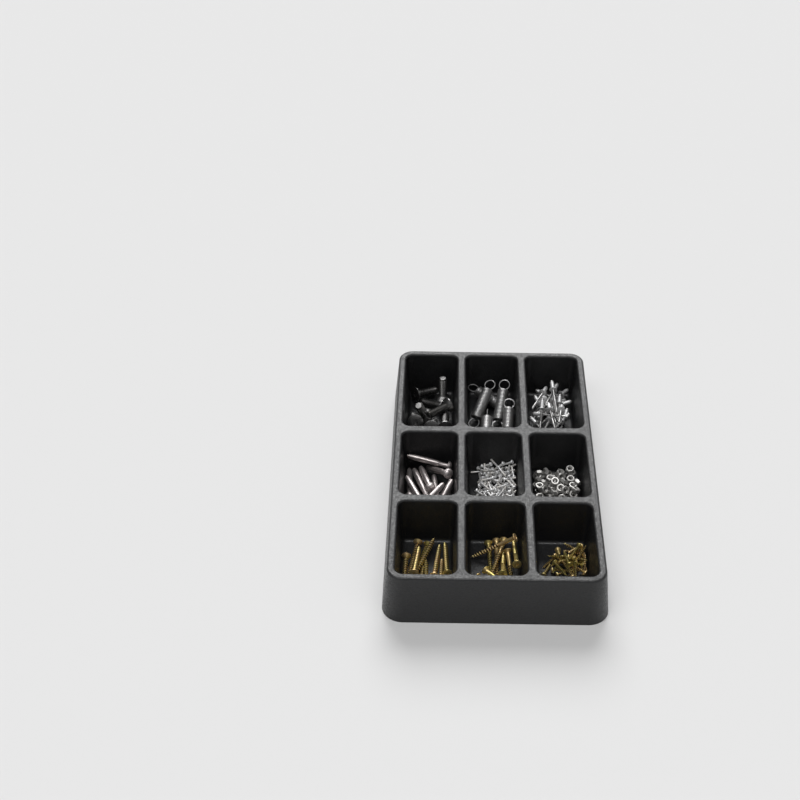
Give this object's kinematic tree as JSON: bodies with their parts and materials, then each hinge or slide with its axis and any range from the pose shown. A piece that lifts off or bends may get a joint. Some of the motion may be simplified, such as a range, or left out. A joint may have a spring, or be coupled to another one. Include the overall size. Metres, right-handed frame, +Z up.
{
  "type": "small parts organizer",
  "caption": "Shallow tapered drawer tray moulded with rounded pockets in rows, holding loose countersunk bolts, springs, blind rivets, wall anchors, nuts and screws.",
  "frame": {"origin": "centre of the tray's base, on the surface that it stands on", "axes": "+X to the right as seen from the front, +Y from the front short side to the back one, +Z up"},
  "size_m": [0.1868, 0.3142, 0.046],
  "materials": {
    "charcoal_plastic": "fine-grained matte moulding",
    "black_steel": "black oxide",
    "spring_steel": "plain drawn wire",
    "rivet_aluminium": "matte",
    "mandrel_steel": "plain drawn wire",
    "bright_zinc_steel": "bright zinc",
    "nickel_steel": "bright nickel",
    "yellow_zinc_steel": "yellow zinc"
  },
  "bodies": {
    "root": {"tray": "charcoal_plastic", "countersunk_bolts": "black_steel", "extension_spring_1": "spring_steel", "extension_spring_2": "spring_steel", "extension_spring_3": "spring_steel", "extension_spring_4": "spring_steel", "extension_spring_5": "spring_steel", "rivet_bodies": "rivet_aluminium", "rivet_mandrels": "mandrel_steel", "anchor_sleeves": "bright_zinc_steel", "anchor_screws": "bright_zinc_steel", "machine_screws": "bright_zinc_steel", "hex_nuts": "nickel_steel", "chipboard_screws": "yellow_zinc_steel", "shank_screws": "yellow_zinc_steel", "short_screws": "yellow_zinc_steel"}
  },
  "joints": []
}
